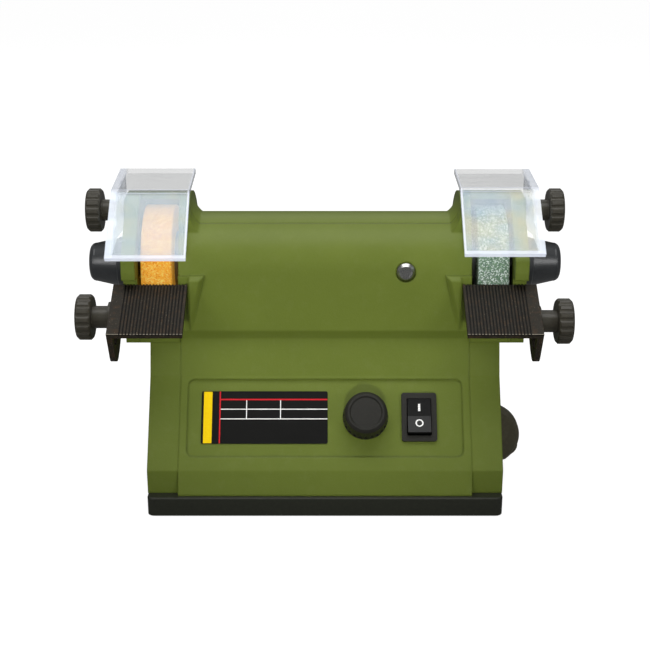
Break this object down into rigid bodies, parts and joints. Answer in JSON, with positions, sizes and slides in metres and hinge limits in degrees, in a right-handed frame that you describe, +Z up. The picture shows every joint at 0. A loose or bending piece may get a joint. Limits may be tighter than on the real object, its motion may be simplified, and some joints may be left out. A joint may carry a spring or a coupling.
{
  "type": "bench grinder",
  "caption": "Small bench grinder: barrel housing on a sloping base with a dial and rocker switch, and at each end a guarded wheel, clear visor and slotted tool rest.",
  "frame": {"origin": "middle of the underside, at the level the rubber feet stand on, below the spindle", "axes": "+X along the spindle to the right wheel, -Y towards the user, +Z up"},
  "size_m": [0.2104, 0.114, 0.1316],
  "materials": {
    "green_housing": "fine satin grain",
    "black_plastic": "satin moulded",
    "cap_plastic": "fine leather grain",
    "base_plastic": "satin moulded",
    "rocker_plastic": "glossy",
    "label": "printed, blank",
    "clear_visor": "clear polished",
    "rest_coating": "black satin coat",
    "orange_abrasive": "coarse vitrified grain",
    "green_abrasive": "coarse vitrified grain",
    "steel": "turned",
    "bright_screw": "bright",
    "brass": "turned",
    "copper": "enamelled wire",
    "magnet": "sintered",
    "carbon": "pressed carbon",
    "rubber": "matt",
    "board": "solder mask",
    "components": "moulded"
  },
  "bodies": {
    "housing": {"base_plate": "base_plastic", "rubber_feet": "rubber", "front_cover": "green_housing", "rear_cover": "green_housing", "motor_can": "steel", "left_motor_bell": "steel", "right_motor_bell": "steel", "field_magnets": "magnet", "carbon_brushes": "carbon", "brush_holders": "brass", "motor_mount_rings": "rubber", "circuit_board": "board", "board_components": "components", "board_standoffs": "black_plastic", "potentiometer": "components", "switch_body": "black_plastic", "rating_plate": "label", "barrel_screw": "bright_screw", "cord_outlet": "black_plastic", "cord_gland": "rubber", "left_side_housing": "green_housing", "left_guard_cover": "green_housing", "left_threaded_inserts": "brass", "left_end_cap": "cap_plastic", "left_bearing": "steel", "left_side_screws": "steel", "left_guard_screws": "steel", "right_side_housing": "green_housing", "right_guard_cover": "green_housing", "right_threaded_inserts": "brass", "right_end_cap": "cap_plastic", "right_bearing": "steel", "right_side_screws": "steel", "right_guard_screws": "steel"},
    "rotor": {"spindle": "steel", "armature_core": "steel", "armature_windings": "copper", "commutator": "copper", "left_grinding_wheel": "orange_abrasive", "left_inner_flange": "steel", "left_outer_flange": "steel", "left_wheel_nut": "steel", "right_grinding_wheel": "green_abrasive", "right_inner_flange": "steel", "right_outer_flange": "steel", "right_wheel_nut": "steel"},
    "dial": {"speed_knob": "black_plastic", "potentiometer_shaft": "components"},
    "rocker": {"switch_rocker": "rocker_plastic"},
    "visor_left": {"left_visor": "clear_visor"},
    "visor_clamp_left": {"left_visor_screw": "black_plastic"},
    "rest_pivot_left": {"left_rest_guide": "black_plastic"},
    "rest_left": {"left_tool_rest": "rest_coating"},
    "rest_clamp_left": {"left_rest_screw": "black_plastic"},
    "visor_right": {"right_visor": "clear_visor"},
    "visor_clamp_right": {"right_visor_screw": "black_plastic"},
    "rest_pivot_right": {"right_rest_guide": "black_plastic"},
    "rest_right": {"right_tool_rest": "rest_coating"},
    "rest_clamp_right": {"right_rest_screw": "black_plastic"}
  },
  "joints": [
    {"name": "rotor_spin", "type": "hinge", "parent": "housing", "child": "rotor", "pos_m": [0, 0, 0.0956], "axis": [1, 0, 0], "continuous": true},
    {"name": "dial_turn", "type": "hinge", "parent": "housing", "child": "dial", "pos_m": [0.0172, -0.03868, 0.03844], "axis": [0, -0.809, 0.5878], "range_deg": [-140, 140]},
    {"name": "rocker_tilt", "type": "hinge", "parent": "housing", "child": "rocker", "pos_m": [0.0401, -0.03771, 0.03773], "axis": [1, 0, 0], "range_deg": [0, 12]},
    {"name": "visor_tilt_left", "type": "hinge", "parent": "housing", "child": "visor_left", "pos_m": [-0.0902, 0.0152, 0.1149], "axis": [-1, 0, 0], "range_deg": [0, 60]},
    {"name": "visor_clamp_turn_left", "type": "hinge", "parent": "housing", "child": "visor_clamp_left", "pos_m": [-0.0902, 0.0152, 0.1149], "axis": [-1, 0, 0], "range_deg": [0, 540]},
    {"name": "rest_tilt_left", "type": "hinge", "parent": "housing", "child": "rest_pivot_left", "pos_m": [-0.088, -0.03292, 0.08157], "axis": [1, 0, 0], "range_deg": [0, 25]},
    {"name": "rest_slide_left", "type": "slide", "parent": "rest_pivot_left", "child": "rest_left", "axis": [0, -0.8949, -0.4462], "range_m": [0, 0.006]},
    {"name": "rest_clamp_turn_left", "type": "hinge", "parent": "housing", "child": "rest_clamp_left", "pos_m": [-0.088, -0.03292, 0.08157], "axis": [-1, 0, 0], "range_deg": [0, 540]},
    {"name": "visor_tilt_right", "type": "hinge", "parent": "housing", "child": "visor_right", "pos_m": [0.0902, 0.0152, 0.1149], "axis": [-1, 0, 0], "range_deg": [0, 60]},
    {"name": "visor_clamp_turn_right", "type": "hinge", "parent": "housing", "child": "visor_clamp_right", "pos_m": [0.0902, 0.0152, 0.1149], "axis": [1, 0, 0], "range_deg": [0, 540]},
    {"name": "rest_tilt_right", "type": "hinge", "parent": "housing", "child": "rest_pivot_right", "pos_m": [0.088, -0.0318, 0.07934], "axis": [1, 0, 0], "range_deg": [0, 25]},
    {"name": "rest_slide_right", "type": "slide", "parent": "rest_pivot_right", "child": "rest_right", "axis": [0, -0.8949, -0.4462], "range_m": [0, 0.006]},
    {"name": "rest_clamp_turn_right", "type": "hinge", "parent": "housing", "child": "rest_clamp_right", "pos_m": [0.088, -0.0318, 0.07934], "axis": [1, 0, 0], "range_deg": [0, 540]}
  ]
}
